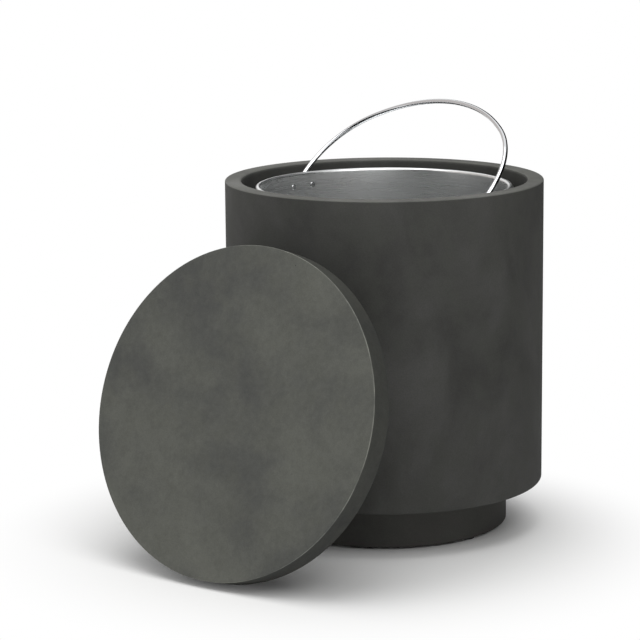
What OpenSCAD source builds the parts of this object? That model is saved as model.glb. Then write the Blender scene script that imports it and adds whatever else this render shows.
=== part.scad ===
// Round cooler side table: a cast concrete drum on a set-back plinth, a stainless ice bucket
// that stands in the drum with a swinging wire bail, and a lift-off table top that is shown
// taken off, leaning on the drum. The origin is on the floor, on the drum's axis; +Z is up.

/* [Drum] */
// Outside radius of the drum
drum_r = 200; // [186:2:240]
// Height of the drum's rim above the floor
rim_z = 440; // [400:5:520]
// Thickness of the drum's wall
drum_wall = 21; // [16:0.5:24]
// Thickness of the drum's floor
drum_floor_t = 22; // [18:1:30]
// Rounding of the rim's outer edge
rim_outer_round = 2; // [1:0.5:4]
// Rounding of the rim's inner edge
rim_inner_round = 4; // [1:0.5:6]
// Rounding of the edge under the drum
underside_round = 2.5; // [1:0.5:6]
// Fillet between the drum's wall and floor, inside
well_fillet = 14; // [6:1:22]
// Diameter of the weep hole in the middle of the drum's floor
weep_d = 18; // [10:1:30]

/* [Plinth] */
// How far the plinth stands back from the drum's side
plinth_inset = 45; // [35:1:60]
// Height of the plinth
plinth_h = 54; // [45:1:80]
// Thickness of the plinth's ring
plinth_wall = 30; // [26:1:40]
// Rounding of the plinth's lower edges
plinth_round = 2; // [1:0.5:5]
// Number of bolts that hold the plinth
bolt_count = 4; // [3:1:8]
// Thread diameter of a plinth bolt
bolt_d = 8; // [6:1:10]
// Diameter of a bolt's washer
washer_d = 20; // [18:1:24]
// Thickness of a bolt's washer
washer_t = 1.6; // [1:0.2:2.5]
// Length of a threaded insert in the plinth
insert_len = 24; // [16:1:34]
// Wall of a threaded insert
insert_wall = 2; // [1.5:0.25:3]
// Depth of a bolt head below the drum's floor
head_sink = 0.8; // [0.4:0.2:2]
// Closed end of a threaded insert
insert_floor = 1; // [0.8:0.1:2]
// Free depth of thread past the end of a bolt or screw
thread_spare = 1.5; // [0.5:0.25:3]

/* [Feet] */
// Number of foot glides
foot_count = 4; // [3:1:8]
// Diameter of a foot glide
foot_d = 22; // [16:1:26]
// Height of a foot glide under the plinth
foot_h = 3; // [2:0.5:6]
// Distance of a foot's centre from the plinth's edge
foot_inset = 14; // [13:1:17]
// Diameter of a foot's push-in stem
stem_d = 8; // [6:0.5:10]
// Length of a foot's push-in stem
stem_len = 16; // [10:1:24]

/* [Lid] */
// How far the lid stands out past the drum's side
lid_overhang = 0; // [0:1:8]
// Thickness of the lid's slab
lid_t = 32; // [26:1:45]
// Rounding of the slab's edges
lid_round = 1.2; // [0.5:0.1:3]
// Tilt of the leaning lid from upright, in degrees
lid_tilt = 18.1; // [12:0.1:24]
// Direction from the drum in which the lid's face looks, in degrees
lid_az = -124.7; // [-150:0.1:-100]
// Number of rubber bumpers under the slab
bumper_count = 4; // [3:1:8]
// Diameter of a rubber bumper
bumper_d = 10; // [8:0.5:12]
// Thickness of a rubber bumper
bumper_t = 2; // [1:0.25:4]

/* [Lid plug] */
// Gap between the closed plug and the bucket's inside
plug_gap = 17; // [14:1:30]
// Depth of the insulated plug under the slab
plug_depth = 50; // [30:1:60]
// Wall of the plug's moulded cover
plug_wall = 2.5; // [2:0.25:4]
// Rounding of the plug's lower edge
plug_round = 8; // [5:0.5:12]
// Depth of the panel sunk into the plug's face
panel_depth = 2.5; // [1:0.5:4]
// Width of the plain rim round the sunk panel
panel_rim = 26; // [18:1:40]
// Thickness of the cover's flange
flange_t = 3.2; // [3:0.1:4]
// Width of the cover's flange
flange_w = 13; // [12:0.5:14]
// Number of screws in the flange
lid_screw_count = 6; // [4:1:12]
// Thread diameter of a lid screw
lid_screw_d = 4; // [3:0.5:4.5]
// Length of a threaded insert in the slab
lid_insert_len = 12; // [9:1:16]

/* [Bucket] */
// Gap between the drum's inside and the bucket, room for the bail
bucket_gap = 23; // [21:0.5:34]
// Depth of the bucket's rim below the drum's rim
bucket_drop = 8; // [6:0.5:24]
// How much narrower the bucket's foot is than its mouth, on the radius
bucket_taper = 16; // [4:1:24]
// Thickness of the bucket's sheet
sheet_t = 1; // [0.8:0.1:1.4]
// Radius of the rolled rim's curl
curl_r = 3.5; // [3:0.25:4.5]
// Height of the straight band below the rim
top_band_h = 62; // [50:1:90]
// Number of raised stiffening beads round the wall
bead_count = 2; // [1:1:4]
// How far a stiffening bead stands proud
bead_rise = 2; // [1:0.25:3]
// Height of a stiffening bead
bead_h = 12; // [8:1:18]
// Height of the straight band at the foot
foot_band_h = 14; // [11:1:24]
// Width of the foot's inward hem
hem_w = 8; // [5:0.5:12]
// Height of the base above the foot's hem
base_lift = 7; // [5:0.5:9]
// Depth of the ring pressed into the base
base_dish = 2; // [1:0.25:3]
// Inside radius of the bend between the base and its skirt
base_bend = 2; // [1:0.5:3]

/* [Bail and ears] */
// Diameter of the bail's wire
wire_d = 6; // [5:0.25:6.5]
// Straight length of each of the bail's legs above its pivot
bail_leg = 27; // [15:1:50]
// Angle through which each shoulder of the arch turns, in degrees
shoulder_turn = 58; // [46:1:62]
// Straight stretch of wire between a shoulder and the crown
arch_link = 4; // [2:0.5:10]
// Lean of the raised bail from upright, in degrees
bail_lean = 47.1; // [0:0.1:75]
// Direction of the bail's right pivot from the drum's axis, in degrees
ear_az = -47.2; // [-90:0.1:0]
// Thickness of an ear's plate
ear_t = 1.5; // [1:0.1:2]
// Width of an ear across its rivet flanges
ear_w = 46; // [42:1:54]
// Width of an ear's raised bridge
bridge_w = 19; // [17:0.5:21]
// Inside radius of the bends in an ear's bridge
ear_bend = 1; // [0.5:0.25:2]
// Height of an ear's bridge below its pivot
ear_drop = 15; // [10:1:22]
// Metal between an ear's hole and its upper edge
ear_edge = 3.5; // [2.5:0.25:6]
// Thickness of the peened head on the wire's end
pin_head_t = 2; // [1:0.25:3]
// How far a peened head stands out past the wire, on the radius
pin_head_rim = 1.2; // [0.8:0.1:2]
// Diameter of a rivet's shank
rivet_d = 4; // [3:0.25:4.5]

/* [Clearances] */
// Radial clearance of the wire's end in the ear's hole
pin_clear = 0.05; // [0.02:0.01:0.1]
// Side play of the peened head between the ear and the bucket
head_play = 0.4; // [0.2:0.05:0.8]
// Gap between the ear's plate and the bend of the wire
bend_gap = 0.5; // [0.3:0.1:1]
// Gap between the rolled rim and the ear below it
ear_gap = 0.5; // [0.2:0.1:1]
// Gap between the folded bail and the rolled rim
fold_gap = 1.5; // [1:0.1:2.5]
// Gap between the leaning lid and the drum
lean_gap = 0.3; // [0.2:0.05:1]
// Gap round an insert, a stem or a seated sheet edge
seat_gap = 0.1; // [0.05:0.01:0.2]
// Gap round a bolt's shank in the drum's floor
shank_gap = 0.5; // [0.3:0.1:1]
// Gap round a washer in its pocket
pocket_gap = 1; // [0.5:0.25:2]

/* [Hidden] */
// Smoothness of holes and small round things, of big turned bodies, and of wire and rivets
$fn = 96;
ring_sides = 180;
wire_sides = 32;
hex_sides = 6;
// Steps of a rounded edge, and a length past a face for a clean cut
round_steps = 6;
cut = 1;

// Heights of the drum
plinth_top = foot_h + plinth_h;
well_floor = plinth_top + drum_floor_t;
well_r = drum_r - drum_wall;

// The plinth keeps its distance from the drum's side
plinth_r = drum_r - plinth_inset;

// Plinth bolts with socket cap heads and their inserts, on the middle of the plinth's ring
bolt_ring_r = plinth_r - plinth_wall / 2;
bolt_r = bolt_d / 2;
bolt_head_r = 0.75 * bolt_d + 0.5;
bolt_head_h = bolt_d;
socket_r = 0.45 * bolt_d;
socket_depth = 0.5 * bolt_d;
pocket_r = washer_d / 2 + pocket_gap;
pocket_depth = head_sink + bolt_head_h + washer_t;
insert_r = bolt_r + insert_wall;
bolt_reach = insert_len - insert_floor - thread_spare;

// Feet, half a step round from the bolts
foot_ring_r = plinth_r - foot_inset;
foot_turn = 45;

// The bucket's radii and heights
bucket_r = well_r - bucket_gap;
bucket_inner_r = bucket_r - sheet_t;
bucket_foot_r = bucket_r - bucket_taper;
bucket_top = rim_z - bucket_drop;
curl_mid_r = curl_r - sheet_t / 2;
curl_ring_r = bucket_r - sheet_t / 2 + curl_mid_r;
curl_z = bucket_top - curl_r;
taper_top = bucket_top - top_band_h;
taper_foot = well_floor + foot_band_h;

// The ears and the bail's pivot
wire_r = wire_d / 2;
hole_r = wire_r + pin_clear;
pivot_z = curl_z - curl_r - ear_gap - ear_edge - hole_r;
pin_head_r = wire_r + pin_head_rim;
pin_head_x = bucket_r + head_play;
ear_in = pin_head_x + pin_head_t + head_play;
ear_out = ear_in + ear_t;
bend_r = wire_r + 2;
leg_x = ear_out + bend_gap + bend_r;
ear_top = pivot_z + hole_r + ear_edge;
ear_foot = pivot_z - ear_drop;
rivet_y = (ear_w + bridge_w) / 4;
rivet_turn = asin(rivet_y / bucket_r);
rivet_r = rivet_d / 2;
rivet_head_r = 0.9 * rivet_d;
rivet_head_h = 0.4 * rivet_d;

// The bail's arch: it folds down until the wire lies on the rolled rim
fold_rise = bucket_top + fold_gap + wire_r - pivot_z;
bail_reach = sqrt(curl_ring_r * curl_ring_r + fold_rise * fold_rise);
bail_fold = atan2(curl_ring_r, fold_rise);
// Shoulders, links and crown meet without a kink, which gives the arch its two radii
arch_run = leg_x - arch_link * sin(shoulder_turn);
arch_rise = bail_reach - bail_leg - arch_link * cos(shoulder_turn);
arch_part = cos(shoulder_turn) + sin(shoulder_turn) - 1;
shoulder_r = (arch_rise * cos(shoulder_turn) - arch_run * (1 - sin(shoulder_turn))) / arch_part;
crown_r = (arch_run * sin(shoulder_turn) - arch_rise * (1 - cos(shoulder_turn))) / arch_part;
// A link is this much thicker than the wire, on the radius, and runs this far into both bends
link_swell = 0.02;
link_lap = 0.8;

// The plug goes into the bucket's mouth when the lid is closed
plug_r = bucket_inner_r - plug_gap;
flange_r = plug_r + flange_w;
lid_screw_r = lid_screw_d / 2;
screw_head_r = lid_screw_d;
screw_ring_r = plug_r + flange_w / 2;
lid_insert_r = lid_screw_r + insert_wall;
screw_reach = lid_insert_len - insert_floor - thread_spare;
panel_r = plug_r - panel_rim;

// The lid: its own origin is the middle of the slab's underside
lid_r = drum_r + lid_overhang;
bumper_ring_r = (drum_r + well_r) / 2;
slab_reach = (lid_r - lid_round) * sin(lid_tilt) + lid_round * (1 - cos(lid_tilt));
plug_reach = (plug_depth - plug_round) * cos(lid_tilt) + (plug_r - plug_round) * sin(lid_tilt) + plug_round;
lid_lean_r = drum_r + lean_gap + max(slab_reach, plug_reach);
lid_stand_z = (lid_r - lid_round) * cos(lid_tilt) + lid_round * (1 - sin(lid_tilt));

// Points of an arc round a centre
function arc_pts(centre, r, from, to) =
    [for (i = [0 : round_steps])
        let (a = from + (to - from) * i / round_steps)
        centre + r * [cos(a), sin(a)]];

// The same points in the other order, for the way back round a profile
function flip(points) = [for (i = [len(points) - 1 : -1 : 0]) points[i]];

// Radius of the bucket's outer face at a height, without its beads
function taper_radius(z) =
    z >= taper_top ? bucket_r
    : z <= taper_foot ? bucket_foot_r
    : bucket_foot_r + bucket_taper * (z - taper_foot) / (taper_top - taper_foot);

// Middle height of each stiffening bead
function bead_z(i) = taper_foot + (taper_top - taper_foot) * (i + 1) / (bead_count + 1);

// Copies round the axis
module around(count, turn = 0) {
    for (i = [0 : count - 1])
        rotate([0, 0, turn + i * 360 / count])
            children();
}

// Puts the lid's own frame where the lid stands on the floor and leans on the drum
module lean() {
    rotate([0, 0, lid_az])
        translate([lid_lean_r, 0, lid_stand_z])
            rotate([0, 90 - lid_tilt, 0])
                children();
}

// Puts the bail's own frame at its pivot: X along the pivots, Y up the arch
module raise_bail() {
    rotate([0, 0, ear_az])
        translate([0, 0, pivot_z])
            rotate([90 - bail_lean, 0, 0])
                children();
}

module drum_profile() {
    polygon(concat(
        [[0, plinth_top]],
        arc_pts([drum_r - underside_round, plinth_top + underside_round], underside_round, -90, 0),
        arc_pts([drum_r - rim_outer_round, rim_z - rim_outer_round], rim_outer_round, 0, 90),
        arc_pts([well_r + rim_inner_round, rim_z - rim_inner_round], rim_inner_round, 90, 180),
        arc_pts([well_r - well_fillet, well_floor + well_fillet], well_fillet, 0, -90),
        [[0, well_floor]]
    ));
}

module drum_shell() {
    color("#454543")
    difference() {
        rotate_extrude($fn = ring_sides) drum_profile();
        translate([0, 0, plinth_top - cut])
            cylinder(r = weep_d / 2, h = drum_floor_t + 2 * cut);
        around(bolt_count)
            translate([bolt_ring_r, 0, 0]) {
                translate([0, 0, plinth_top - cut])
                    cylinder(r = bolt_r + shank_gap, h = drum_floor_t + cut);
                translate([0, 0, well_floor - pocket_depth])
                    cylinder(r = pocket_r, h = pocket_depth + well_fillet);
            }
    }
}

module plinth_profile() {
    inner_r = plinth_r - plinth_wall;
    polygon(concat(
        arc_pts([inner_r + plinth_round, foot_h + plinth_round], plinth_round, 180, 270),
        arc_pts([plinth_r - plinth_round, foot_h + plinth_round], plinth_round, -90, 0),
        [[plinth_r, plinth_top], [inner_r, plinth_top]]
    ));
}

module plinth_ring() {
    color("#3b3b39")
    difference() {
        rotate_extrude($fn = ring_sides) plinth_profile();
        around(bolt_count)
            translate([bolt_ring_r, 0, plinth_top - insert_len - seat_gap])
                cylinder(r = insert_r + seat_gap, h = insert_len + seat_gap + cut);
        around(foot_count, foot_turn)
            translate([foot_ring_r, 0, foot_h - cut])
                cylinder(r = stem_d / 2 + seat_gap, h = stem_len + seat_gap + cut);
    }
}

module bolt() {
    seat = well_floor - pocket_depth + washer_t;
    difference() {
        union() {
            translate([0, 0, plinth_top - bolt_reach])
                cylinder(r = bolt_r, h = seat - plinth_top + bolt_reach);
            translate([0, 0, seat])
                cylinder(r = bolt_head_r, h = bolt_head_h);
        }
        translate([0, 0, seat + bolt_head_h - socket_depth])
            cylinder(r = socket_r, h = socket_depth + cut, $fn = hex_sides);
    }
}

module plinth_bolts() {
    color("silver")
    around(bolt_count) translate([bolt_ring_r, 0, 0]) bolt();
}

module bolt_washers() {
    color("gainsboro")
    around(bolt_count)
        translate([bolt_ring_r, 0, well_floor - pocket_depth])
            difference() {
                cylinder(r = washer_d / 2, h = washer_t);
                translate([0, 0, -cut])
                    cylinder(r = bolt_r + shank_gap / 2, h = washer_t + 2 * cut);
            }
}

// A threaded insert whose open end is at z = 0 and whose barrel goes down
module insert(outer_r, bore_r, length) {
    translate([0, 0, -length])
        difference() {
            cylinder(r = outer_r, h = length);
            translate([0, 0, insert_floor])
                cylinder(r = bore_r, h = length);
        }
}

module plinth_inserts() {
    color("goldenrod")
    around(bolt_count)
        translate([bolt_ring_r, 0, plinth_top])
            insert(insert_r, bolt_r + seat_gap, insert_len);
}

module foot_glide() {
    edge = foot_h / 3;
    rotate_extrude()
        polygon(concat(
            [[0, 0]],
            arc_pts([foot_d / 2 - edge, edge], edge, -90, 0),
            [
                [foot_d / 2, foot_h], [stem_d / 2, foot_h],
                [stem_d / 2, foot_h + stem_len - edge], [stem_d / 2 - edge, foot_h + stem_len],
                [0, foot_h + stem_len]
            ]
        ));
}

module foot_glides() {
    color("#1c1c1c")
    around(foot_count, foot_turn) translate([foot_ring_r, 0, 0]) foot_glide();
}

module lid_slab() {
    color("#585a53")
    lean()
        difference() {
            rotate_extrude($fn = ring_sides)
                polygon(concat(
                    [[0, 0]],
                    arc_pts([lid_r - lid_round, lid_round], lid_round, -90, 0),
                    arc_pts([lid_r - lid_round, lid_t - lid_round], lid_round, 0, 90),
                    [[0, lid_t]]
                ));
            around(lid_screw_count)
                translate([screw_ring_r, 0, -cut])
                    cylinder(r = lid_insert_r + seat_gap, h = lid_insert_len + seat_gap + cut);
        }
}

module lid_bumpers() {
    color("#2a2a2a")
    lean()
        around(bumper_count, foot_turn)
            translate([bumper_ring_r, 0, -bumper_t])
                rotate_extrude()
                    polygon(concat(
                        [[0, 0]],
                        arc_pts([bumper_d / 2 - bumper_t / 2, bumper_t / 2], bumper_t / 2, -90, 0),
                        [[bumper_d / 2, bumper_t], [0, bumper_t]]
                    ));
}

module lid_inserts() {
    color("goldenrod")
    lean()
        around(lid_screw_count)
            translate([screw_ring_r, 0, 0])
                mirror([0, 0, 1])
                    insert(lid_insert_r, lid_screw_r + seat_gap, lid_insert_len);
}

// The sunk panel in the plug's face: its middle and the slope up to the plain rim
function panel_pts(z, edge_r) =
    [[0, z + panel_depth], [edge_r, z + panel_depth], [edge_r + panel_depth, z]];

module plug_cover() {
    inner_round = plug_round - plug_wall;
    inner_r = plug_r - plug_wall;
    color("#26282a")
    lean()
        difference() {
            rotate_extrude($fn = ring_sides)
                polygon(concat(
                    panel_pts(-plug_depth, panel_r),
                    arc_pts([plug_r - plug_round, plug_round - plug_depth], plug_round, -90, 0),
                    [[plug_r, -flange_t]],
                    arc_pts([flange_r - flange_t / 2, -flange_t / 2], flange_t / 2, -90, 90),
                    [[inner_r, 0]],
                    arc_pts([plug_r - plug_round, plug_round - plug_depth], inner_round, 0, -90),
                    flip(panel_pts(plug_wall - plug_depth, panel_r))
                ));
            around(lid_screw_count)
                translate([screw_ring_r, 0, 0]) {
                    translate([0, 0, -flange_t - cut])
                        cylinder(r = lid_screw_r + seat_gap, h = flange_t + 2 * cut);
                    translate([0, 0, -flange_t])
                        cylinder(r1 = screw_head_r + seat_gap, r2 = lid_screw_r + seat_gap, h = lid_screw_r);
                }
        }
}

module plug_core() {
    core_r = plug_r - plug_wall - seat_gap;
    color("white")
    lean()
        rotate_extrude($fn = ring_sides)
            polygon(concat(
                panel_pts(plug_wall - plug_depth, panel_r + seat_gap),
                arc_pts([core_r - plug_round, plug_round + plug_wall - plug_depth], plug_round, -90, 0),
                [[core_r, 0], [0, 0]]
            ));
}

module plug_screw() {
    slot_w = 0.2 * lid_screw_d;
    difference() {
        union() {
            translate([0, 0, -flange_t])
                cylinder(r1 = screw_head_r, r2 = lid_screw_r, h = lid_screw_r);
            translate([0, 0, lid_screw_r - flange_t])
                cylinder(r = lid_screw_r, h = screw_reach - lid_screw_r + flange_t);
        }
        for (turn = [0, 90])
            rotate([0, 0, turn])
                translate([-lid_screw_r, -slot_w / 2, -flange_t - cut])
                    cube([lid_screw_d, slot_w, lid_screw_r / 2 + cut]);
    }
}

module plug_screws() {
    color("silver")
    lean()
        around(lid_screw_count) translate([screw_ring_r, 0, 0]) plug_screw();
}

// The sheet wall's outer face as [radius, height] points from the foot up, shifted inwards
function wall_pts(inset) =
    concat(
        [[bucket_foot_r - inset, taper_foot]],
        [for (i = [0 : bead_count - 1], s = [-round_steps : round_steps])
            let (z = bead_z(i) + s * bead_h / (2 * round_steps))
            [taper_radius(z) + bead_rise * pow(cos(90 * s / round_steps), 2) - inset, z]],
        [[bucket_r - inset, taper_top]]
    );

module curl_profile() {
    translate([curl_ring_r, curl_z])
        difference() {
            circle(r = curl_r);
            circle(r = curl_r - sheet_t);
            translate([-2 * curl_r, -2 * curl_r])
                square([2 * curl_r, 2 * curl_r]);
        }
}

module bucket_wall_profile() {
    polygon(concat(
        [
            [bucket_foot_r - hem_w, well_floor], [bucket_foot_r - sheet_t, well_floor],
            [bucket_foot_r, well_floor + sheet_t]
        ],
        wall_pts(0),
        [[bucket_r, curl_z], [bucket_r - sheet_t, curl_z]],
        flip(wall_pts(sheet_t)),
        [[bucket_foot_r - sheet_t, well_floor + sheet_t], [bucket_foot_r - hem_w, well_floor + sheet_t]]
    ));
    curl_profile();
}

// Both ears' rivets, seen from the drum's axis
module at_rivets(turn) {
    for (side = [-1, 1])
        rotate([0, 0, turn + side * rivet_turn])
            translate([0, 0, pivot_z - ear_edge])
                rotate([0, 90, 0])
                    children();
}

module bucket_wall() {
    color("lightsteelblue")
    difference() {
        rotate_extrude($fn = ring_sides) bucket_wall_profile();
        for (turn = [ear_az, ear_az + 180])
            at_rivets(turn)
                translate([0, 0, bucket_inner_r - cut])
                    cylinder(r = rivet_r + seat_gap, h = sheet_t + 2 * cut);
    }
}

module bucket_base() {
    skirt_r = bucket_foot_r - sheet_t - seat_gap;
    low = well_floor + sheet_t;
    top = low + base_lift;
    dish_r = skirt_r - 3 * base_lift;
    bend = [skirt_r - sheet_t - base_bend, top - base_bend];
    color("lightslategray")
    rotate_extrude($fn = ring_sides)
        polygon(concat(
            [[0, top - base_dish], [dish_r, top - base_dish], [dish_r + base_dish, top]],
            arc_pts(bend, base_bend, 90, 0),
            [[skirt_r - sheet_t, low], [skirt_r, low]],
            arc_pts(bend, base_bend + sheet_t, 0, 90),
            [
                [dish_r + base_dish - sheet_t / 2, top + sheet_t],
                [dish_r - sheet_t / 2, top + sheet_t - base_dish],
                [0, top + sheet_t - base_dish]
            ]
        ));
}

// A strip from the drum's axis out to a reach, with two rounded outer corners
module round_ended(reach, width, corner) {
    translate([0, -width / 2])
        square([reach - corner, width]);
    translate([0, corner - width / 2])
        square([reach, width - 2 * corner]);
    for (side = [-1, 1])
        translate([reach - corner, side * (width / 2 - corner)])
            circle(r = corner);
}

// Plan of an ear: two curved rivet flanges and a raised bridge bent up between them
module ear_plan() {
    seat_r = bucket_r + seat_gap;
    difference() {
        union() {
            intersection() {
                circle(r = seat_r + ear_t, $fn = 2 * ring_sides);
                translate([0, -ear_w / 2])
                    square([2 * bucket_r, ear_w]);
            }
            round_ended(ear_out, bridge_w, ear_bend + ear_t);
        }
        circle(r = seat_r, $fn = 2 * ring_sides);
        round_ended(ear_in, bridge_w - 2 * ear_t, ear_bend);
    }
}

// Front view of an ear: a plate with round ends, to which the plan is cut
module ear_front() {
    height = ear_top - ear_foot;
    mid_z = (ear_top + ear_foot) / 2;
    corner = height / 3;
    for (side = [-1, 1], level = [-1, 1])
        translate([side * (ear_w / 2 - corner), mid_z + level * (height / 2 - corner)])
            circle(r = corner);
    translate([-ear_w / 2, mid_z - height / 2 + corner])
        square([ear_w, height - 2 * corner]);
    translate([corner - ear_w / 2, ear_foot])
        square([ear_w - 2 * corner, height]);
}

module ear(turn) {
    difference() {
        rotate([0, 0, turn])
            intersection() {
                translate([0, 0, ear_foot - cut])
                    linear_extrude(height = ear_top - ear_foot + 2 * cut) ear_plan();
                translate([bucket_r - cut, 0, 0])
                    rotate([90, 0, 90])
                        linear_extrude(height = ear_out - bucket_r + 2 * cut) ear_front();
            }
        rotate([0, 0, turn])
            translate([ear_in - cut, 0, pivot_z])
                rotate([0, 90, 0])
                    cylinder(r = hole_r, h = ear_t + 2 * cut);
        at_rivets(turn)
            translate([0, 0, bucket_r - cut])
                cylinder(r = rivet_r + seat_gap, h = ear_t + 3 * cut);
    }
}

module ear_right() {
    color("darkgray") ear(ear_az);
}

module ear_left() {
    color("darkgray") ear(ear_az + 180);
}

// A rivet from inside the bucket out: flat head, shank and domed head
module rivet() {
    inner_x = bucket_inner_r - seat_gap;
    outer_x = bucket_r + 2 * seat_gap + ear_t;
    dome_r = (rivet_head_r * rivet_head_r + rivet_head_h * rivet_head_h) / (2 * rivet_head_h);
    half_turn = asin(rivet_head_r / dome_r);
    translate([0, 0, inner_x])
        rotate_extrude($fn = wire_sides)
            polygon(concat(
                [
                    [0, -rivet_head_h / 2], [rivet_head_r, -rivet_head_h / 2], [rivet_head_r, 0],
                    [rivet_r, 0], [rivet_r, outer_x - inner_x]
                ],
                arc_pts([0, outer_x - inner_x + rivet_head_h - dome_r], dome_r, 90 - half_turn, 90)
            ));
}

module rivets_right() {
    color("silver") at_rivets(ear_az) rivet();
}

module rivets_left() {
    color("silver") at_rivets(ear_az + 180) rivet();
}

// A stretch of the bail's wire bent round a centre
module wire_bend(centre, r, from, turn) {
    translate(centre)
        rotate([0, 0, from])
            rotate_extrude(angle = turn, $fn = ring_sides)
                translate([r, 0])
                    circle(r = wire_r, $fn = wire_sides);
}

// The right half of the bail below the crown: link, shoulder, leg, bend and peened pin
module bail_half() {
    translate([leg_x - shoulder_r, bail_leg, 0])
        rotate([0, 0, shoulder_turn])
            translate([shoulder_r, -link_lap, 0])
                rotate([-90, 0, 0])
                    cylinder(r = wire_r + link_swell, h = arch_link + 2 * link_lap, $fn = wire_sides);
    wire_bend([leg_x - shoulder_r, bail_leg, 0], shoulder_r, 0, shoulder_turn);
    translate([leg_x, bend_r, 0])
        rotate([-90, 0, 0])
            cylinder(r = wire_r, h = bail_leg - bend_r, $fn = wire_sides);
    wire_bend([leg_x - bend_r, bend_r, 0], bend_r, -90, 90);
    rotate([0, 90, 0]) {
        translate([0, 0, pin_head_x])
            cylinder(r = wire_r, h = leg_x - bend_r - pin_head_x, $fn = wire_sides);
        translate([0, 0, pin_head_x])
            cylinder(r = pin_head_r, h = pin_head_t, $fn = wire_sides);
    }
}

module bail_handle() {
    color("whitesmoke")
    raise_bail() {
        wire_bend([0, bail_reach - crown_r, 0], crown_r, shoulder_turn, 180 - 2 * shoulder_turn);
        for (turn = [0, 180])
            rotate([0, turn, 0]) bail_half();
    }
}

drum_shell();
plinth_ring();
plinth_bolts();
bolt_washers();
plinth_inserts();
foot_glides();
lid_slab();
lid_bumpers();
lid_inserts();
plug_cover();
plug_core();
plug_screws();
bucket_wall();
bucket_base();
ear_right();
ear_left();
rivets_right();
rivets_left();
bail_handle();
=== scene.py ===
"""Looks of a round concrete cooler side table.

A cast concrete drum stands on a set-back plinth and holds a pressed steel ice bucket with a
swinging wire bail. The lift-off top leans on the drum, its insulated plug towards the drum.
Sizes are written in millimetres and turned to metres where a mesh is made. The origin is on
the floor, on the drum's axis, and +Z is up.
"""

import logging
import math
from dataclasses import dataclass, field
from enum import Enum
from functools import cache
from typing import Callable, Iterable, Sequence

import bmesh
import bpy
from mathutils import Matrix, Vector


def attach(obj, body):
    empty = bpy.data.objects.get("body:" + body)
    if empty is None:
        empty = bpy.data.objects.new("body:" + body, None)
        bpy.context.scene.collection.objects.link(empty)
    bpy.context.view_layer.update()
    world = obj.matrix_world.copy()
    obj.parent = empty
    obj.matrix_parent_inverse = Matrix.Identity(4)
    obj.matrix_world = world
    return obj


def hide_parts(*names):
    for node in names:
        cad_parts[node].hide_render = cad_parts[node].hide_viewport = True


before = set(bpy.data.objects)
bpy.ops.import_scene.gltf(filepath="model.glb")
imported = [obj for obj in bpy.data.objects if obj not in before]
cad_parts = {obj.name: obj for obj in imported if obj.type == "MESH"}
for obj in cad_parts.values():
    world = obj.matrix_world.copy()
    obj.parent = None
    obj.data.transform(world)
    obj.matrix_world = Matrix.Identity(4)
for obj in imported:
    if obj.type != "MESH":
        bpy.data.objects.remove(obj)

MM = 0.001
LOG = logging.getLogger("side_table")
FULL_TURN = 2 * math.pi
SHARP_EDGE = math.radians(32)
# Points nearer than this, in metres, are one point
WELD = 1e-6
WHITE = "#ffffff"
# Depth of a screw thread, as a part of its pitch
THREAD_DEPTH = 0.6

Tree = bpy.types.NodeTree
Mesh = bpy.types.Mesh
Piece = bpy.types.Object
Point = tuple[float, float]
Place = tuple[float, float, float]
Ring = tuple[float | Callable[[float], float], float]
# Where nearly all values of a noise pattern lie
NOISE_SPAN: Point = (0.3, 0.7)


@dataclass(frozen=True)
class Flow:
    """What flows out of a node; arithmetic with it adds the nodes that work it out."""

    tree: Tree
    node: bpy.types.Node
    socket: bpy.types.NodeSocket | None

    def __getitem__(self, name: str) -> "Flow":
        """Gives another output of the same node."""
        return Flow(self.tree, self.node, self.node.outputs[name])

    def by(self, operation: str, *others: "Flow | float") -> "Flow":
        """Adds one node of arithmetic."""
        return add(self.tree, "ShaderNodeMath", dict(enumerate((self, *others))), operation=operation)

    def steer(self, operation: str, *others: "Flow | Place", **named: "Flow | float") -> "Flow":
        """Adds one node of vector arithmetic."""
        inputs = {**dict(enumerate((self, *others))), **named}
        return add(self.tree, "ShaderNodeVectorMath", inputs, operation=operation)

    def __add__(self, other: "Flow | float") -> "Flow":
        """Gives the sum."""
        return self.by("ADD", other)

    def __sub__(self, other: "Flow | float") -> "Flow":
        """Gives the difference."""
        return self.by("SUBTRACT", other)

    def __mul__(self, other: "Flow | float") -> "Flow":
        """Gives the product."""
        return self.by("MULTIPLY", other)

    def __truediv__(self, other: "Flow | float") -> "Flow":
        """Gives the quotient."""
        return self.by("DIVIDE", other)

    def over(self, low: "Flow | float", high: "Flow | float", to_low: float, to_high: "Flow | float",
             kind: str = "LINEAR") -> "Flow":
        """Turns one range into another.

        Args:
            low: where the value's range begins.
            high: where it ends.
            to_low: what the low end becomes.
            to_high: what the high end becomes.
            kind: how it goes from one to the other.

        Returns:
            The new value, held at the range's ends.
        """
        return add(self.tree, "ShaderNodeMapRange", {
            "Value": self, "From Min": low, "From Max": high, "To Min": to_low, "To Max": to_high,
        }, interpolation_type=kind)


def add(tree: Tree, kind: str, inputs: dict | None = None, **settings: str | bool) -> Flow:
    """Adds one node with its settings, its constant inputs and its links.

    Args:
        tree: the shader or geometry tree that gets the node.
        kind: Blender's type name of the node.
        inputs: values by socket name or number; a flow there is linked.
        settings: properties of the node itself.

    Returns:
        What flows out of the first output that is on.
    """
    node = tree.nodes.new(kind)
    for name, value in settings.items():
        setattr(node, name, value)
    for key, value in (inputs or {}).items():
        if isinstance(key, int):
            socket = node.inputs[key]
        else:
            socket = next(s for s in node.inputs if s.enabled and s.name == key)
        if isinstance(value, Flow):
            tree.links.new(value.socket, socket)
        else:
            socket.default_value = value
    return Flow(tree, node, next((s for s in node.outputs if s.enabled), None))


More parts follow.
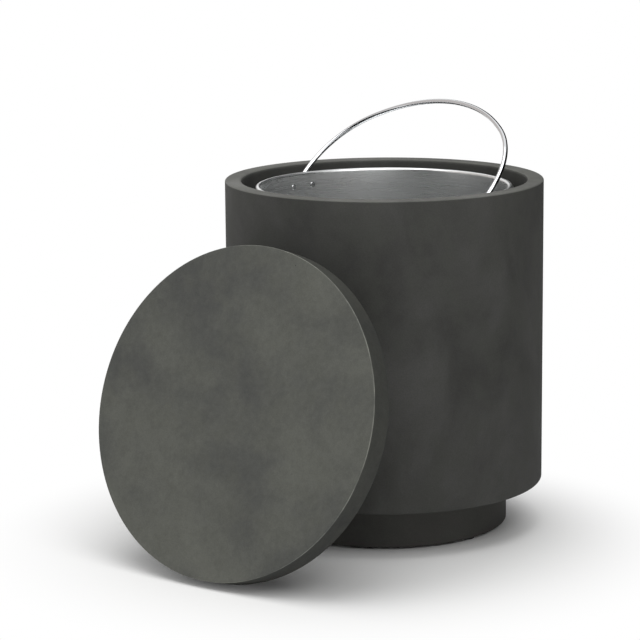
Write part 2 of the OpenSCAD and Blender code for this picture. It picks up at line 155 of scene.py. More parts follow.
def blank(owner: bpy.types.Material | bpy.types.World) -> Tree:
    """Empties the node tree of a material or world.

    Args:
        owner: the material or the world.

    Returns:
        Its node tree.
    """
    owner.use_nodes = True
    owner.node_tree.nodes.clear()
    return owner.node_tree


def new_material(name: str, surface: Callable[[Tree], Flow]) -> bpy.types.Material:
    """Makes a material.

    Args:
        name: its name.
        surface: what builds its surface in its tree.

    Returns:
        The material.
    """
    made = bpy.data.materials.new(name)
    tree = blank(made)
    add(tree, "ShaderNodeOutputMaterial", {"Surface": surface(tree)})
    return made


def linear(code: str) -> tuple[float, float, float, float]:
    """Turns an sRGB hex colour into the linear colour that Blender's sockets take.

    Args:
        code: six hex digits after a #.

    Returns:
        Red, green, blue and an alpha of 1.
    """
    parts = [int(code[i:i + 2], 16) / 255 for i in (1, 3, 5)]
    flat = [c / 12.92 if c <= 0.04045 else ((c + 0.055) / 1.055) ** 2.4 for c in parts]
    return flat[0], flat[1], flat[2], 1.0


def per_metre(size_mm: float) -> float:
    """Gives the scale at which a noise or cell pattern has features of a size."""
    return 1.0 / (size_mm * MM)


def vector(tree: Tree, **parts: Flow) -> Flow:
    """Puts numbers together to a vector; a part that isn't given is 0."""
    return add(tree, "ShaderNodeCombineXYZ", parts)


def noise(where: Flow, size_mm: float, detail: float, roughness: float = 0.5,
          warp: float = 0.0) -> Flow:
    """Adds a cloudy pattern.

    Args:
        where: the place in the pattern.
        size_mm: the size of its features.
        detail: how many finer layers it has.
        roughness: how strong those are.
        warp: how far it is drawn out of shape.

    Returns:
        The pattern, 0 to 1.
    """
    return add(where.tree, "ShaderNodeTexNoise", {
        "Vector": where, "Scale": per_metre(size_mm), "Detail": detail, "Roughness": roughness,
        "Distortion": warp,
    })


def mix(share: Flow, first: Flow | str, second: str) -> Flow:
    """Mixes two colours.

    Args:
        share: how much of the second colour there is.
        first: a hex code or a flow.
        second: a hex code.

    Returns:
        The mixed colour.
    """
    start = linear(first) if isinstance(first, str) else first
    inputs = {"Factor": share, "A": start, "B": linear(second)}
    return add(share.tree, "ShaderNodeMix", inputs, data_type="RGBA")


def glow(tree: Tree, kind: str, colour: str, strength: float = 1.0) -> Flow:
    """Adds a node that gives off even light: an emission, or a world's background."""
    return add(tree, kind, {"Color": linear(colour), "Strength": strength})


def bump(height: Flow, strength: float, depth_mm: float, under: Flow | None = None,
         invert: bool = False) -> Flow:
    """Raises a surface by a pattern.

    Args:
        height: the pattern.
        strength: how much of it shows.
        depth_mm: how far it rises.
        under: the bump below it, where there is one.
        invert: whether it sinks instead.

    Returns:
        The bent normal.
    """
    inputs = {"Height": height, "Strength": strength, "Distance": depth_mm * MM}
    if under is not None:
        inputs["Normal"] = under
    return add(height.tree, "ShaderNodeBump", inputs, invert=invert)


class Grain(Enum):
    """The way in which a metal's fine lines run."""

    ROUND = "round the part's axis, as a lathe or a spinning brush leaves them"
    ALONG = "along a drawn wire"
    NONE = "no direction, as plating leaves it"


@dataclass(frozen=True)
class Finish:
    """What a surface is made of and how it was worked."""

    name: str

    def material(self) -> bpy.types.Material:
        """Gives the finish's material, made at its first use."""
        return bpy.data.materials.get(self.name) or new_material(
            self.name, lambda tree: add(tree, "ShaderNodeBsdfPrincipled", self.paint(tree)))

    def paint(self, tree: Tree) -> dict[str, Flow | float]:
        """Builds the finish's pattern; each kind of finish has its own.

        Args:
            tree: the material's tree.

        Returns:
            The inputs of the principled shader.
        """
        raise NotImplementedError


@dataclass(frozen=True)
class CastConcrete(Finish):
    """Pigmented concrete cast against a smooth mould and sealed matt.

    The eye sees soft clouds where the pigment lies unevenly, a fine sandy tooth, a few pinholes
    left by air that are painted dark with the shade in them, and arrises rubbed a little paler,
    which on the top are a painted highlight. The crown is painted lighter and the sides darker,
    and the casting paler up and darker down, as painted light and shade.
    """

    shade: str
    bloom: str
    tint: str
    cloud_mm: float = 110.0
    patch_mm: float = 34.0
    # Sand of about 0.4 mm, drawn at 1.5 mm so that it shows
    sand_mm: float = 1.5
    sand: float = 0.07
    mottle_mm: float = 7.0
    mottle: float = 0.0
    pit_mm: float = 15.0
    pit_share: float = 0.055
    # A pinhole is painted dark, as painted shade in the hole
    pit_painted_shade: str = "#262625"
    # Strength and depth in mm of the relief of the patches, the sand and the pinholes
    wave: Point = (0.3, 1.2)
    tooth: Point = (0.22, 0.35)
    dent: Point = (0.6, 0.5)
    sheen: float = 0.2
    # Roughness where a patch is weakest and strongest
    matt: Point = (0.9, 0.74)
    # How far from its middle the cloud pattern goes from shade to bloom, at a contrast of 1
    cloud_reach: float = 0.32
    contrast: float = 1.0
    # Where in the patch pattern the tint comes in, and how much of it at most
    tint_span: Point = (0.38, 0.68)
    tint_share: float = 0.6
    stretch: Place = (1.0, 1.0, 0.8)
    place: Matrix = field(default_factory=Matrix)
    # Height in the casting's own frame at which its crown begins, painted lit above and shaded below
    crown_z: float = 1000.0
    # How far below and above that height the change to the crown reaches
    crown_edge: Point = (-0.5, 0.3)
    # Factors of painted light on the crown and painted shade on the sides
    crown_painted_light: float = 1.0
    side_painted_shade: float = 1.0
    # How far below the crown the arris runs, how wide it is rubbed, where in the patches, and its gain:
    # a small gain is rubbed wear, a large one a painted highlight
    arris_drop: float = 0.2
    arris_mm: float = 1.1
    arris_span: Point = (0.4, 0.62)
    arris_least: float = 0.25
    arris_wear_and_highlight: float = 1.12
    # Painted light and shade by height: how much paler than its middle the casting is at the crown,
    # and how much darker at the foot
    foot_z: float = 0.0
    painted_light_by_height: float = 0.0

    def paint(self, tree: Tree) -> dict[str, Flow | float]:
        """Mixes clouds, patches, sand and pinholes, with painted light and shade.

        Args:
            tree: the material's tree.

        Returns:
            The inputs of the principled shader.
        """
        spot, turn, _ = self.place.decompose()
        own = add(tree, "ShaderNodeMapping", {
            "Vector": add(tree, "ShaderNodeTexCoord")["Object"],
            "Location": spot, "Rotation": turn.to_euler(),
        }, vector_type="TEXTURE")
        drawn = add(tree, "ShaderNodeMapping", {"Vector": own, "Scale": self.stretch})
        cloud = noise(drawn, self.cloud_mm, 5.0, 0.56, 0.35)
        patch = noise(drawn, self.patch_mm, 4.0, 0.6)
        sand = noise(own, self.sand_mm, 2.0)
        speck = sand.over(*NOISE_SPAN, 1.0 - self.sand, 1.0 + self.sand)
        fleck = noise(own, self.mottle_mm, 2.0, 0.6)
        fleck = fleck.over(*NOISE_SPAN, 1.0 - self.mottle, 1.0 + self.mottle)
        reach = self.cloud_reach / self.contrast
        spread = cloud.over(0.5 - reach, 0.5 + reach, 0.0, 1.0, "SMOOTHSTEP")
        warm = patch.over(*self.tint_span, 0.0, self.tint_share, "SMOOTHSTEP")
        tinted = mix(warm, mix(spread, self.shade, self.bloom), self.tint)
        gain = speck * fleck * self.worked(own, patch)
        cells = add(tree, "ShaderNodeTexVoronoi", {"Vector": own, "Scale": per_metre(self.pit_mm)})
        chance = add(tree, "ShaderNodeSeparateColor", {"Color": cells["Color"]})
        # The sixth power leaves most cells without a pinhole that shows
        hole = cells.by("LESS_THAN", chance.by("POWER", 6.0) * self.pit_share)
        relief = bump(patch, *self.wave, bump(sand, *self.tooth))
        return {
            # Pinholes are painted dark with the shade that falls in them
            "Base Color": mix(hole, tinted.steer("SCALE", Scale=gain), self.pit_painted_shade),
            "Roughness": patch.over(0.0, 1.0, *self.matt),
            "Specular IOR Level": self.sheen,
            "Normal": bump(hole, *self.dent, relief, invert=True),
        }

    def worked(self, own: Flow, patch: Flow) -> Flow:
        """Paints the crown lit and the sides shaded, the casting paler up and darker down,
        and a rubbed arris between them that can also be a painted highlight.

        Args:
            own: the place in the casting's own frame.
            patch: the noise that breaks the rubbed arris up.

        Returns:
            The factor by which the colour is lighter or darker.
        """
        height = add(own.tree, "ShaderNodeSeparateXYZ", {"Vector": own})["Z"]
        below, above = ((self.crown_z + edge) * MM for edge in self.crown_edge)
        # Painted light on the crown and painted shade on the sides
        step = height.over(below, above, self.side_painted_shade, self.crown_painted_light, "SMOOTHSTEP")
        # Painted paler towards the crown and darker towards the foot, as light falls
        painted_height_shading = height.over(self.foot_z * MM, self.crown_z * MM, 1.0 - self.painted_light_by_height, 1.0 + self.painted_light_by_height)
        # The arris is lifted as rubbed wear, and where the gain is large as a painted highlight
        off = (height - (self.crown_z - self.arris_drop) * MM).by("ABSOLUTE")
        broken = patch.over(*self.arris_span, self.arris_least, 1.0)
        rubbed = off.over(0.0, self.arris_mm * MM, 1.0, 0.0) * broken
        return step * painted_height_shading * rubbed.over(0.0, 1.0, 1.0, self.arris_wear_and_highlight)


@dataclass(frozen=True)
class Metal(Finish):
    """A bare or plated metal surface.

    The eye sees the metal's own colour in its reflections, fine lines from the way it was
    worked, and a slight cloud of handling marks in the gloss.
    """

    colour: str
    worn: str
    roughness: float
    grain: Grain
    # Brush lines of about 0.1 mm, drawn wider so that they show
    line_mm: float
    line_strength: float
    blotch_mm: float = 45.0
    line_deep_mm: float = 0.1
    # How the roughness changes from the bright metal to the worn
    gloss: Point = (0.8, 1.5)
    # How long a line runs round the axis, and along a wire
    round_mm: float = 180.0
    along_mm: float = 60.0
    # How far a highlight is drawn out across lines that run round the axis
    anisotropy: float = 0.6

    def paint(self, tree: Tree) -> dict[str, Flow | float]:
        """Mixes the lines of the grain with blotches of wear.

        Args:
            tree: the material's tree.

        Returns:
            The inputs of the principled shader.
        """
        where = add(tree, "ShaderNodeTexCoord")["Object"]
        line = add(tree, "ShaderNodeTexNoise", {
            "Vector": self.stroke(where), "Scale": 1.0, "Detail": 3.0, "Roughness": 0.65,
        })
        wear = line.over(*NOISE_SPAN, 0.0, 1.0) * noise(where, self.blotch_mm, 4.0, 0.6)
        inputs = {
            "Base Color": mix(wear, self.colour, self.worn),
            "Metallic": 1.0,
            "Roughness": wear.over(0.0, 1.0, *(share * self.roughness for share in self.gloss)),
            "Normal": bump(line, self.line_strength, self.line_deep_mm),
        }
        if self.grain is Grain.ROUND:
            around = add(tree, "ShaderNodeVectorMath", {
                0: (0.0, 0.0, 1.0), 1: where,
            }, operation="CROSS_PRODUCT")
            inputs["Anisotropic"] = self.anisotropy
            inputs["Tangent"] = add(tree, "ShaderNodeVectorTransform", {
                "Vector": around,
            }, vector_type="VECTOR", convert_from="OBJECT", convert_to="WORLD")
        return inputs

    def stroke(self, where: Flow) -> Flow:
        """Stretches the pattern's space so that its noise becomes lines along the grain.

        Args:
            where: the object coordinates.

        Returns:
            The stretched vector.
        """
        fine = per_metre(self.line_mm)
        if self.grain is Grain.ALONG:
            along = add(where.tree, "ShaderNodeAttribute", attribute_name="wire_frame")["Vector"]
            return along.steer("MULTIPLY", (per_metre(self.along_mm), fine, fine))
        if self.grain is Grain.NONE:
            return where.steer("SCALE", Scale=fine)
        parts = add(where.tree, "ShaderNodeSeparateXYZ", {"Vector": where})
        level = vector(where.tree, X=parts["X"], Y=parts["Y"])
        lathe = level.steer("LENGTH")["Value"] + parts["Z"]
        slow = level.steer("SCALE", Scale=per_metre(self.round_mm))
        return slow.steer("ADD", vector(where.tree, Z=lathe * fine))


@dataclass(frozen=True)
class Moulded(Finish):
    """Moulded plastic or rubber with a spark-eroded grain.

    The eye sees one deep colour, a soft sheen broken by fine grain, and faint flow clouds.
    """

    colour: str
    flow: str
    roughness: float
    # Mould grain of about 0.5 mm, drawn at 1 mm so that it shows
    grain_mm: float = 1.0
    grain_strength: float = 0.25
    cell: bool = False
    grain_deep_mm: float = 0.2
    cloud_mm: float = 30.0
    flow_gain: float = 2.0
    # How much duller and glossier than its roughness the flow clouds leave it
    unevenness: float = 0.08

    def paint(self, tree: Tree) -> dict[str, Flow | float]:
        """Mixes flow clouds and mould grain; a foam shows its beads instead.

        Args:
            tree: the material's tree.

        Returns:
            The inputs of the principled shader.
        """
        where = add(tree, "ShaderNodeTexCoord")["Object"]
        cloud = noise(where, self.cloud_mm, 3.0)
        if self.cell:
            grain = add(tree, "ShaderNodeTexVoronoi", {
                "Vector": where, "Scale": per_metre(self.grain_mm),
            }, feature="SMOOTH_F1")
        else:
            grain = noise(where, self.grain_mm, 2.0)
        return {
            "Base Color": mix(cloud * grain * self.flow_gain, self.colour, self.flow),
            "Roughness": cloud.over(0.0, 1.0, self.roughness - self.unevenness,
                                    self.roughness + self.unevenness),
            "Normal": bump(grain, self.grain_strength, self.grain_deep_mm),
        }


BRUSHED_STAINLESS = Metal("brushed_stainless_steel", "#e6e7e7", "#dbdddd", 0.3, Grain.ROUND, 0.9, 0.02)
PRESSED_STAINLESS = Metal("pressed_stainless_steel", "#d0d1d1", "#c3c5c5", 0.24, Grain.NONE, 3.0, 0.015)
CHROMED_WIRE = Metal("chrome_plated_wire", "#e2e4e6", "#d3d5d8", 0.05, Grain.ALONG, 0.8, 0.03)
ZINC_PLATE = Metal("zinc_plated_steel", "#bfc3c6", "#9fa39f", 0.34, Grain.NONE, 1.2, 0.1, 12.0)
TURNED_BRASS = Metal("turned_brass", "#c7a258", "#a98846", 0.3, Grain.NONE, 1.0, 0.1, 14.0)
MOULDED_ABS = Moulded("moulded_abs", "#202224", "#2c2e31", 0.48)
MOULDED_GLIDE = Moulded("moulded_polyethylene", "#171718", "#202021", 0.42, 0.8, 0.15)
CAST_RUBBER = Moulded("moulded_rubber", "#222221", "#2c2c2b", 0.72, 0.7, 0.3)
BEAD_FOAM = Moulded("expanded_polystyrene", "#e6e5e0", "#f4f3ef", 0.8, 4.0, 0.6, True)


def rotation(degrees: float, axis: str) -> Matrix:
    """Gives a turn about an axis."""
    return Matrix.Rotation(math.radians(degrees), 4, axis)


def new_object(name: str, data: Mesh | bpy.types.Light | bpy.types.Camera) -> Piece:
    """Makes an object and shows it in the scene.

    Args:
        name: the object's name.
        data: its mesh, lamp or camera.

    Returns:
        The object.
    """
    made = bpy.data.objects.new(name, data)
    bpy.context.scene.collection.objects.link(made)
    return made


def smooth(mesh: Mesh) -> None:
    """Shades a mesh smooth, but keeps its sharper edges."""
    mesh.shade_smooth()
    mesh.set_sharp_from_angle(angle=SHARP_EDGE)


def face_out(mesh: Mesh) -> None:
    """Merges a closed mesh's doubles, drops loose edges, turns its faces outwards and smooths it.

    Args:
        mesh: the mesh, which is changed.
    """
    shell = bmesh.new()
    shell.from_mesh(mesh)
    bmesh.ops.remove_doubles(shell, verts=shell.verts, dist=WELD)
    bmesh.ops.delete(shell, geom=[e for e in shell.edges if not e.link_faces], context="EDGES")
    bmesh.ops.recalc_face_normals(shell, faces=shell.faces)
    shell.to_mesh(mesh)
    shell.free()
    smooth(mesh)


def arc(centre: Point, radius: float, first: float, last: float, steps: int) -> list[Point]:
    """Gives points of an arc in a profile.

    Args:
        centre: the arc's centre as radius and height.
        radius: its radius.
        first: the angle of its first point, in degrees.
        last: the angle of its last point.
        steps: how many stretches it is drawn with.

    Returns:
        The points, both ends among them.
    """
    turns = [math.radians(first + (last - first) * i / steps) for i in range(steps + 1)]
    return [(centre[0] + radius * math.cos(a), centre[1] + radius * math.sin(a)) for a in turns]


def ring_stack(name: str, rings: Sequence[Ring], sides: int = 48, loop: bool = False) -> Mesh:
    """Skins rings round the Z axis into one closed mesh, sizes in millimetres.

    Args:
        name: the mesh's name.
        rings: radius and height of each ring, counterclockwise in the half plane; a radius
            may be a function of the angle, and a radius of 0 is a pole.
        sides: the number of points of a ring.
        loop: whether the last ring joins the first, as in a pipe.

    Returns:
        The mesh, in metres, with its faces outwards.
    """
    shell = bmesh.new()
    rows = []
    for radius, height in rings:
        if radius == 0:
            rows.append([shell.verts.new((0, 0, height * MM))])
            continue
        row = []
        for k in range(sides):
            a = FULL_TURN * k / sides
            r = (radius(a) if callable(radius) else radius) * MM
            row.append(shell.verts.new((r * math.cos(a), r * math.sin(a), height * MM)))
        rows.append(row)
    pairs = list(zip(rows, rows[1:]))
    if loop:
        pairs.append((rows[-1], rows[0]))
    for low, high in pairs:
        for k in range(sides):
            n = (k + 1) % sides
            corners = (low[k % len(low)], low[n % len(low)], high[n % len(high)], high[k % len(high)])
            shell.faces.new(list(dict.fromkeys(corners)))
    mesh = bpy.data.meshes.new(name)
    shell.to_mesh(mesh)
    shell.free()
    smooth(mesh)
    return mesh


def hexagon(across: float) -> Callable[[float], float]:
    """Gives the radius of a hexagon at an angle, from its size over the corners."""
    flat = across / 2 * math.cos(math.pi / 6)
    return lambda a: flat / math.cos(a % (math.pi / 3) - math.pi / 6)


def cross(arm: float, web: float) -> Callable[[float], float]:
    """Gives the radius of a cross-shaped recess at an angle."""
    return lambda a: web + (arm - web) * max(0.0, math.cos(4 * a)) ** 3


def knurl(radius: float, depth: float, sides: int) -> Callable[[float], float]:
    """Gives the radius of a knurled round, a ridge at every second point."""
    return lambda a: radius - depth * (round(a * sides / FULL_TURN) % 2)


def thread(radius: float, pitch: float, low: float, high: float) -> list[Ring]:
    """Gives the rings of a screw thread, from its lower end up.

    Args:
        radius: the radius of the thread's crest.
        pitch: the rise of one turn.
        low: the height of the lower end.
        high: the height of the upper end.

    Returns:
        Rings that are a quarter of a pitch apart.
    """
    depth = THREAD_DEPTH * pitch
    count = max(2, round(4 * (high - low) / pitch))

    def wave(height: float) -> Callable[[float], float]:
        """Gives the radius at one height."""
        return lambda a: radius - depth * abs(2 * ((height / pitch - a / FULL_TURN) % 1) - 1)

    heights = [low + (high - low) * i / count for i in range(count + 1)]
    return [(wave(z), z) for z in heights]


def new_tree(name: str, counts: Iterable[str], sizes: Iterable[str]) -> Flow:
    """Starts a geometry tree that takes geometry, a material and sizes, and gives geometry.

    Args:
        name: the tree's name.
        counts: the names of its inputs that are whole numbers.
        sizes: the names of its inputs that are lengths or angles.

    Returns:
        What flows into the tree.
    """
    tree = bpy.data.node_groups.new(name, "GeometryNodeTree")
    kinds = {
        "Geometry": "Geometry", **dict.fromkeys(counts, "Int"), **dict.fromkeys(sizes, "Float"),
        "Material": "Material",
    }
    for label, kind in kinds.items():
        tree.interface.new_socket(name=label, in_out="INPUT", socket_type=f"NodeSocket{kind}")
    tree.interface.new_socket(name="Geometry", in_out="OUTPUT", socket_type="NodeSocketGeometry")
    return add(tree, "NodeGroupInput")


def finish_tree(shape: Flow, given: Flow) -> Tree:
    """Ends a tree in real geometry that has its material.

    Args:
        shape: what the tree has made.
        given: what flows into it.

    Returns:
        The finished tree.
    """
    real = add(shape.tree, "GeometryNodeRealizeInstances", {"Geometry": shape})
    inputs = {"Geometry": real, "Material": given["Material"]}
    add(shape.tree, "NodeGroupOutput", {"Geometry": add(shape.tree, "GeometryNodeSetMaterial", inputs)})
    return shape.tree


def about_axis(spot: Flow, turn: Flow) -> Flow:
    """Turns a place about the Z axis."""
    inputs = {"Vector": spot, "Angle": turn}
    return add(spot.tree, "ShaderNodeVectorRotate", inputs, rotation_type="Z_AXIS")


def sample(shape: Flow, value: Flow, index: Flow) -> Flow:
    """Gives the vector that a shape has at one of its points."""
    inputs = {"Geometry": shape, "Value": value, "Index": index}
    return add(shape.tree, "GeometryNodeSampleIndex", inputs, data_type="FLOAT_VECTOR", domain="POINT")


def store(shape: Flow, name: str, value: Flow, kind: str = "FLOAT_VECTOR") -> Flow:
    """Stores a value at each point of a shape, under a name."""
    inputs = {"Geometry": shape, "Name": name, "Value": value}
    return add(shape.tree, "GeometryNodeStoreNamedAttribute", inputs, data_type=kind, domain="POINT")


@cache
def copies_tree() -> Tree:
    """Makes the tree that sets copies of a small part round the Z axis, as bolts and rivets are.

    Returns:
        The tree.
    """
    given = new_tree("copies_round_axis", ["Count"], ["Step", "First Turn", "Radius", "Height"])
    tree = given.tree
    turn = add(tree, "GeometryNodeInputIndex") * given["Step"] + given["First Turn"]
    spot = about_axis(vector(tree, X=given["Radius"], Z=given["Height"]), turn)
    points = add(tree, "GeometryNodePoints", {"Count": given["Count"], "Position": spot})
    return finish_tree(add(tree, "GeometryNodeInstanceOnPoints", {
        "Points": points, "Instance": given, "Rotation": vector(tree, Z=turn),
    }), given)


@cache
def turned_tree() -> Tree:
    """Makes the tree that turns a closed profile round the Z axis and presses beads into it.

    Returns:
        The tree.
    """
    given = new_tree("turned_and_beaded", ["Points", "Sides"],
                     ["First Bead", "Bead Step", "Bead Height", "Bead Rise"])
    tree = given.tree
    rows = given["Points"] + 1.0
    sheet = add(tree, "GeometryNodeMeshGrid", {"Vertices X": given["Sides"] + 1.0, "Vertices Y": rows})
    number = add(tree, "GeometryNodeInputIndex")
    point = number.by("MODULO", rows).by("MODULO", given["Points"])
    parts = add(tree, "ShaderNodeSeparateXYZ", {
        "Vector": sample(given, add(tree, "GeometryNodeInputPosition"), point),
    })
    level = parts["Z"] - given["First Bead"]
    nearest = (level / given["Bead Step"]).by("ROUND")
    bead = add(tree, "ShaderNodeClamp", {"Value": nearest, "Min": 0.0, "Max": 1.0})
    off = (level - bead * given["Bead Step"]) / given["Bead Height"]
    inside = add(tree, "ShaderNodeClamp", {"Value": off, "Min": -0.5, "Max": 0.5})
    wave = (inside * math.pi).by("COSINE")
    beaded = vector(tree, X=parts["X"] + wave * wave * given["Bead Rise"], Z=parts["Z"])
    turn = (number / rows).by("FLOOR") / given["Sides"] * FULL_TURN
    shaped = add(tree, "GeometryNodeSetPosition", {
        "Geometry": sheet, "Position": about_axis(beaded, turn),
    })
    joined = add(tree, "GeometryNodeMergeByDistance", {"Geometry": shaped, "Distance": WELD})
    return finish_tree(joined, given)


@cache
def bent_wire_tree() -> Tree:
    """Makes the tree that feeds and bends a wire, as a bender does, and sets a head on each end.

    The wire's heading is the sum of its crown, shoulder and pivot bends up to a point, and
    its place is the sum of all steps before it. The path is even on both sides of the crown.

    Returns:
        The tree.
    """
    given = new_tree("bent_wire", ["Steps", "Sides"], [
        "Half Length", "Crown Start", "Crown End", "Crown Turn", "Shoulder Start", "Shoulder End",
        "Shoulder Turn", "Pivot Start", "Pivot End", "Pivot Turn", "Start X", "Wire Radius",
    ])
    tree = given.tree
    step = given["Half Length"] * 2.0 / given["Steps"]
    fed = (add(tree, "GeometryNodeInputIndex") + 0.5) * step
    run = fed - given["Half Length"]
    reach = run.by("ABSOLUTE")
    crown, shoulder, pivot = (
        reach.over(given[f"{bend} Start"], given[f"{bend} End"], 0.0, given[f"{bend} Turn"])
        for bend in ("Crown", "Shoulder", "Pivot")
    )
    heading = crown + shoulder + pivot
    down = heading.by("SINE") * run.by("SIGN") * -1.0
    stride = vector(tree, X=heading.by("COSINE"), Y=down).steer("SCALE", Scale=step)
    walked = add(tree, "GeometryNodeAccumulateField", {"Value": stride}, data_type="FLOAT_VECTOR")
    straight = add(tree, "GeometryNodeMeshLine", {"Count": given["Steps"] + 1.0})
    laid = add(tree, "GeometryNodeSetPosition", {
        "Geometry": add(tree, "GeometryNodeMeshToCurve", {"Mesh": straight}),
        "Position": walked["Trailing"].steer("ADD", vector(tree, X=given["Start X"])),
    })
    path = add(tree, "GeometryNodeSetCurveNormal", {"Curve": laid}, mode="Z_UP")
    bar = add(tree, "GeometryNodeCurvePrimitiveCircle", {
        "Resolution": given["Sides"], "Radius": given["Wire Radius"],
    })
    wire = add(tree, "GeometryNodeCurveToMesh", {
        "Curve": store(path, "fed", fed, "FLOAT"),
        "Profile Curve": store(bar, "section", add(tree, "GeometryNodeInputPosition")),
        "Fill Caps": True,
    })
    end = add(tree, "GeometryNodeInputIndex")
    ends = add(tree, "GeometryNodeSetPosition", {
        "Geometry": add(tree, "GeometryNodePoints", {"Count": 2}),
        "Position": vector(tree, X=given["Start X"] * (end * 2.0 - 1.0)),
    })
    heads = add(tree, "GeometryNodeInstanceOnPoints", {
        "Points": ends, "Instance": given, "Rotation": vector(tree, Z=end * math.pi),
    })
    peened = add(tree, "GeometryNodeMeshBoolean", operation="UNION", solver="EXACT")
    for shape in (wire, add(tree, "GeometryNodeRealizeInstances", {"Geometry": heads})):
        tree.links.new(shape.socket, peened.node.inputs["Mesh 2"])
    return finish_tree(wire_frame(peened, wire), given)


def wire_frame(shape: Flow, wire: Flow) -> Flow:
    """Stores where a shape lies along and across the nearest bit of wire, for its finish's grain.

    Args:
        shape: the finished shape.
        wire: the bare wire, with its fed length and section.

    Returns:
        The shape with the attribute wire_frame.
    """
    tree = shape.tree
    fed, section = (
        add(tree, "GeometryNodeInputNamedAttribute", {"Name": name}, data_type=kind)
        for name, kind in (("fed", "FLOAT"), ("section", "FLOAT_VECTOR"))
    )
    parts = add(tree, "ShaderNodeSeparateXYZ", {"Vector": section})
    nearest = add(tree, "GeometryNodeSampleNearest", {"Geometry": wire}, domain="POINT")
    there = sample(wire, vector(tree, X=fed, Y=parts["X"], Z=parts["Y"]), nearest)
    stored = store(shape, "wire_frame", there)
    for spare in ("fed", "section"):
        stored = add(tree, "GeometryNodeRemoveAttribute", {"Geometry": stored, "Name": spare})
    return stored


def baked(piece: Piece) -> Mesh:
    """Gives a piece's mesh as its modifiers shape it."""
    graph = bpy.context.evaluated_depsgraph_get()
    return bpy.data.meshes.new_from_object(piece.evaluated_get(graph), depsgraph=graph)


def grow(name: str, seed: Mesh, tree: Tree, finish: Finish, sizes: dict[str, float],
         place: Matrix | None = None) -> Piece:
    """Runs a geometry tree on a mesh and keeps the result as a plain mesh.

    Args:
        name: the finished piece's name.
        seed: the mesh that goes into the tree.
        tree: the geometry tree.
        finish: the finish of what comes out.
        sizes: the tree's inputs by name.
        place: where the result is moved, in its mesh.

    Returns:
        The finished object, at the origin.
    """
    source = new_object(f"{name}_source", seed)
    modifier = source.modifiers.new("grow", "NODES")
    modifier.node_group = tree
    sockets = {s.name: s.identifier for s in tree.interface.items_tree if s.in_out == "INPUT"}
    for label, value in {**sizes, "Material": finish.material()}.items():
        modifier[sockets[label]] = value
    mesh = baked(source)
    bpy.data.objects.remove(source)
    mesh.name = name
    if place is not None:
        mesh.transform(place)
    mesh.materials.clear()
    mesh.materials.append(finish.material())
    mesh.update()
    return new_object(name, mesh)


def even_ring(count: int, radius: float, first: float = 0.0) -> dict[str, float]:
    """Gives the copying tree's sizes for copies that stand evenly on a ring."""
    return {"Count": count, "Step": FULL_TURN / count, "First Turn": first, "Radius": radius * MM}


def drill(piece: Piece, cutter: Piece) -> None:
    """Cuts a cutter out of a piece for good and removes the cutter.

    Args:
        piece: the piece, which keeps its material.
        cutter: a closed shape that goes through the piece.
    """
    cut = piece.modifiers.new("drill", "BOOLEAN")
    cut.operation, cut.solver, cut.object = "DIFFERENCE", "EXACT", cutter
    mesh = baked(piece)
    piece.modifiers.remove(cut)
    bpy.data.objects.remove(cutter)
    mesh.name = piece.name
    piece.data = mesh


def dress(node: str, finish: Finish) -> Piece:
    """Puts a finish on every material slot of a node of the frame.

    Args:
        node: the node's name.
        finish: the finish.

    Returns:
        The node's object.
    """
    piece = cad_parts[node]
    for slot in piece.material_slots:
        slot.material = finish.material()
    return piece


def settle(piece: Piece, body: str, nodes: Iterable[str]) -> Piece:
    """Lets a new piece ride on its body and stand for nodes of the frame.

    Args:
        piece: the new piece, in place.
        body: the body that it moves with.
        nodes: the nodes that it stands for.

    Returns:
        The same piece.
    """
    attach(piece, body)
    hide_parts(*nodes)
    return piece


def set_out(body: str, rows: Iterable[tuple], place: Matrix | None = None) -> list[Piece]:
    """Sets copies of small parts out round the axis.

    Args:
        body: the body that they move with.
        rows: for each kind its name, small part, finish, material slot, ring and frame's node.
        place: where they are moved, in their mesh.

    Returns:
        The pieces.
    """
    return [
        settle(grow(name, seed, copies_tree(), finish, ring, place), body, [node])
        for name, seed, finish, slot, ring, node in rows
    ]


def sheet(name: str, corners: Sequence[Place], material: bpy.types.Material) -> Piece:
    """Makes a flat four-cornered piece.

    Args:
        name: its name.
        corners: its corners in metres.
        material: its material.

    Returns:
        The piece.
    """
    mesh = bpy.data.meshes.new(name)
    mesh.from_pydata(corners, [], [(0, 1, 2, 3)])
    mesh.materials.append(material)
    return new_object(name, mesh)


